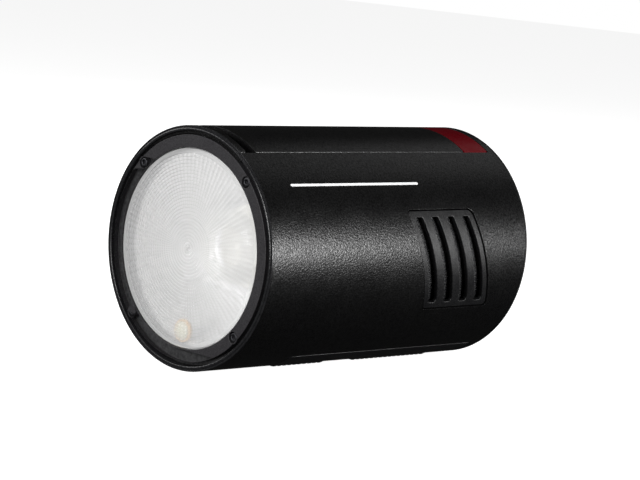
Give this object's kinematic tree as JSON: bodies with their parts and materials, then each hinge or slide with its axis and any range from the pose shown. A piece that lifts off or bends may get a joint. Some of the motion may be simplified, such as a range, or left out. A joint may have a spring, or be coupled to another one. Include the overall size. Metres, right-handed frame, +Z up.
{
  "type": "monolight strobe",
  "caption": "Pocket round-head cordless monolight strobe with a ringed front lens, a lift-out battery on top, side vents and a dial and display on the back.",
  "frame": {"origin": "middle of the bounding box at the flat foot it stands on", "axes": "-Y is the way the lens faces, +Y the control panel's side, +Z up towards the battery, +X the side whose vent the lens-on view has on its right"},
  "size_m": [0.076, 0.12, 0.0762],
  "materials": {
    "housing_plastic": "fine grained moulding",
    "rim_plastic": "smooth, slightly glossy",
    "bezel_plastic": "satin",
    "base_plastic": "satin",
    "panel_plastic": "satin",
    "button_plastic": "satin, lightly worn",
    "inner_plastic": "plain moulding",
    "lens_plastic": "clear with moulded rings",
    "window_red": "deep red, polished",
    "display_glass": "smoked, polished",
    "display_dark": "satin",
    "tube_glass": "clear",
    "reflector_silver": "vacuum metallised",
    "ceramic_white": "unglazed",
    "led_yellow": "phosphor under clear resin",
    "bare_aluminium": "machined",
    "brass": "machined",
    "spring_steel": "drawn wire",
    "screw_black": "black oxide",
    "rubber_black": "matte",
    "board_green": "solder mask",
    "sleeve_grey": "shrink sleeve",
    "cell_blue": "shrink sleeve"
  },
  "bodies": {
    "body": {"front_rim": "rim_plastic", "bezel_ring": "bezel_plastic", "front_carrier": "inner_plastic", "front_lens": "lens_plastic", "lens_gasket": "rubber_black", "reflector": "reflector_silver", "tube_base": "ceramic_white", "flash_tube": "tube_glass", "lamp_led": "led_yellow", "lamp_post": "bare_aluminium", "housing": "housing_plastic", "vent_grille_right": "bezel_plastic", "vent_grille_left": "bezel_plastic", "base_plate": "base_plastic", "stand_bush": "brass", "front_bridge": "housing_plastic", "sensor_window": "window_red", "light_sensor": "sleeve_grey", "battery_bay": "inner_plastic", "bay_contacts": "brass", "latch_spring": "spring_steel", "capacitor_left": "sleeve_grey", "capacitor_right": "sleeve_grey", "power_board": "board_green", "charge_transformer": "sleeve_grey", "trigger_coil": "ceramic_white", "port_board": "board_green", "usb_socket": "bare_aluminium", "sync_jack": "sleeve_grey", "rear_cover": "panel_plastic", "rear_frame": "inner_plastic", "display_window": "display_glass", "display_module": "display_dark", "control_board": "board_green", "dial_encoder": "sleeve_grey", "button_membrane": "rubber_black", "bezel_screw_1": "screw_black", "rear_screw_1": "screw_black", "bezel_screw_2": "screw_black", "rear_screw_2": "screw_black", "bezel_screw_3": "screw_black", "rear_screw_3": "screw_black", "bezel_screw_4": "screw_black", "rear_screw_4": "screw_black"},
    "battery": {"battery_cover": "housing_plastic", "battery_tray": "inner_plastic", "cell_left": "cell_blue", "cell_right": "cell_blue", "battery_terminals": "brass"},
    "latch": {"battery_latch": "bezel_plastic"},
    "dial": {"control_dial": "panel_plastic"},
    "set_button": {"set_button": "button_plastic"},
    "mode_button": {"mode_button": "button_plastic"},
    "group_button": {"group_button": "button_plastic"},
    "lamp_button": {"lamp_button": "button_plastic"},
    "sync_button": {"sync_button": "button_plastic"},
    "test_button": {"test_button": "button_plastic"},
    "power_switch": {"power_switch": "button_plastic"},
    "port_cover": {"port_cover": "rubber_black"}
  },
  "joints": [
    {"name": "battery_lift", "type": "slide", "parent": "body", "child": "battery", "axis": [0, 0, 1], "range_m": [0, 0.048]},
    {"name": "latch_slide", "type": "slide", "parent": "body", "child": "latch", "axis": [0, -1, 0], "range_m": [0, 0.0014], "stiffness_N_per_m": 400, "deforming": ["latch_spring"]},
    {"name": "dial_spin", "type": "hinge", "parent": "body", "child": "dial", "pos_m": [0, 0.056, 0.02115], "axis": [0, 1, 0], "continuous": true},
    {"name": "set_button_press", "type": "slide", "parent": "body", "child": "set_button", "axis": [0, -1, 0], "range_m": [0, 0.0006], "stiffness_N_per_m": 1500},
    {"name": "mode_button_press", "type": "slide", "parent": "body", "child": "mode_button", "axis": [0, -1, 0], "range_m": [0, 0.0006], "stiffness_N_per_m": 1500},
    {"name": "group_button_press", "type": "slide", "parent": "body", "child": "group_button", "axis": [0, -1, 0], "range_m": [0, 0.0006], "stiffness_N_per_m": 1500},
    {"name": "lamp_button_press", "type": "slide", "parent": "body", "child": "lamp_button", "axis": [0, -1, 0], "range_m": [0, 0.0006], "stiffness_N_per_m": 1500},
    {"name": "sync_button_press", "type": "slide", "parent": "body", "child": "sync_button", "axis": [0, -1, 0], "range_m": [0, 0.0006], "stiffness_N_per_m": 1500},
    {"name": "test_button_press", "type": "slide", "parent": "body", "child": "test_button", "axis": [0, -1, 0], "range_m": [0, 0.0006], "stiffness_N_per_m": 1500},
    {"name": "switch_slide", "type": "slide", "parent": "body", "child": "power_switch", "axis": [0, 0, 1], "range_m": [0, 0.0034]},
    {"name": "port_cover_hinge", "type": "hinge", "parent": "body", "child": "port_cover", "pos_m": [-0.038, -0.0237, 0.03815], "axis": [0, 0, 1], "range_deg": [0, 110]}
  ]
}
